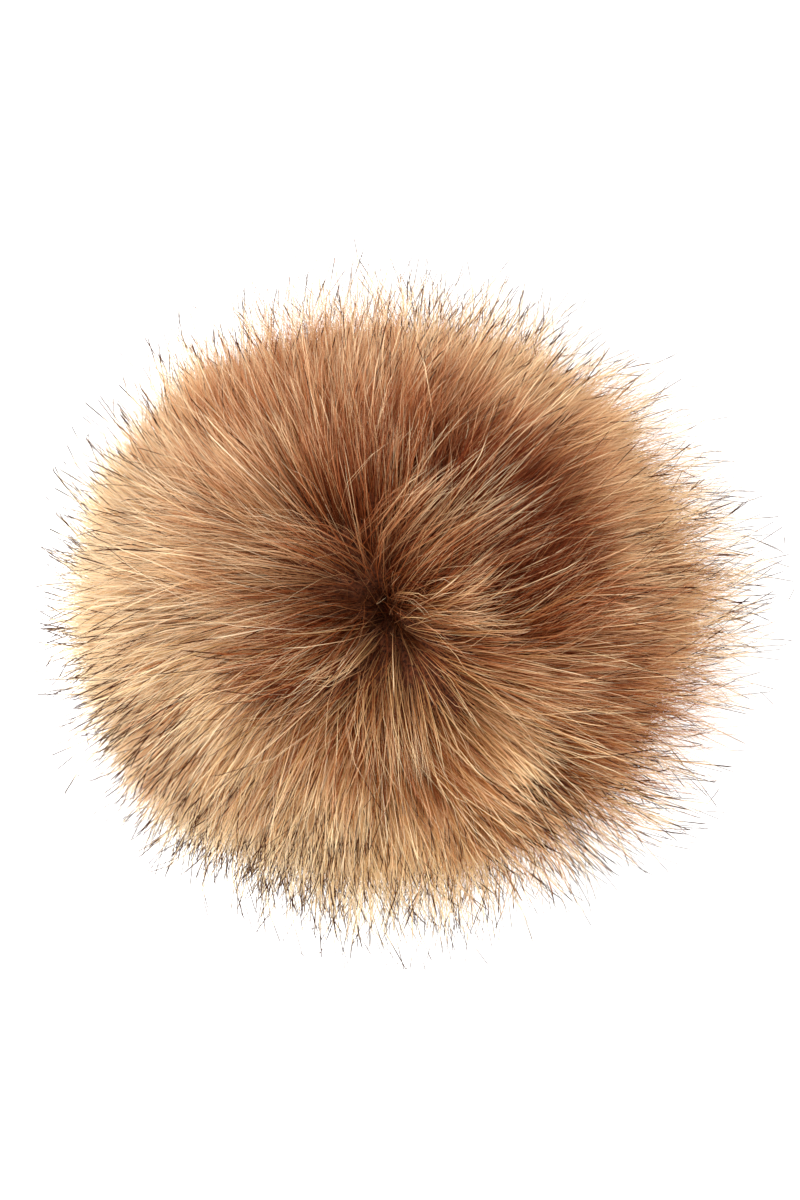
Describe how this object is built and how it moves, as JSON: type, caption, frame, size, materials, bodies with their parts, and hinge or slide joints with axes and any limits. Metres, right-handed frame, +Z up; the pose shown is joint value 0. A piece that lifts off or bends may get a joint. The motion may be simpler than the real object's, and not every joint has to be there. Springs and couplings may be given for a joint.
{
  "type": "faux fur pom pom",
  "caption": "Round pom pom of long-pile faux fur, its hair combed outward from a gathered crease on top.",
  "frame": {"origin": "on the surface that the pom pom rests on, under the middle of its box", "axes": "+Z up, towards the parting, which faced the camera; +X towards the picture's right; +Y towards its top"},
  "size_m": [0.1446, 0.1404, 0.1148],
  "materials": {
    "fur": "long soft pile: dark brown at the roots, tan along the hair, creamy underfur at the rim and dark brown tips"
  },
  "bodies": {
    "root": {"fur_ball": "fur"}
  },
  "joints": []
}
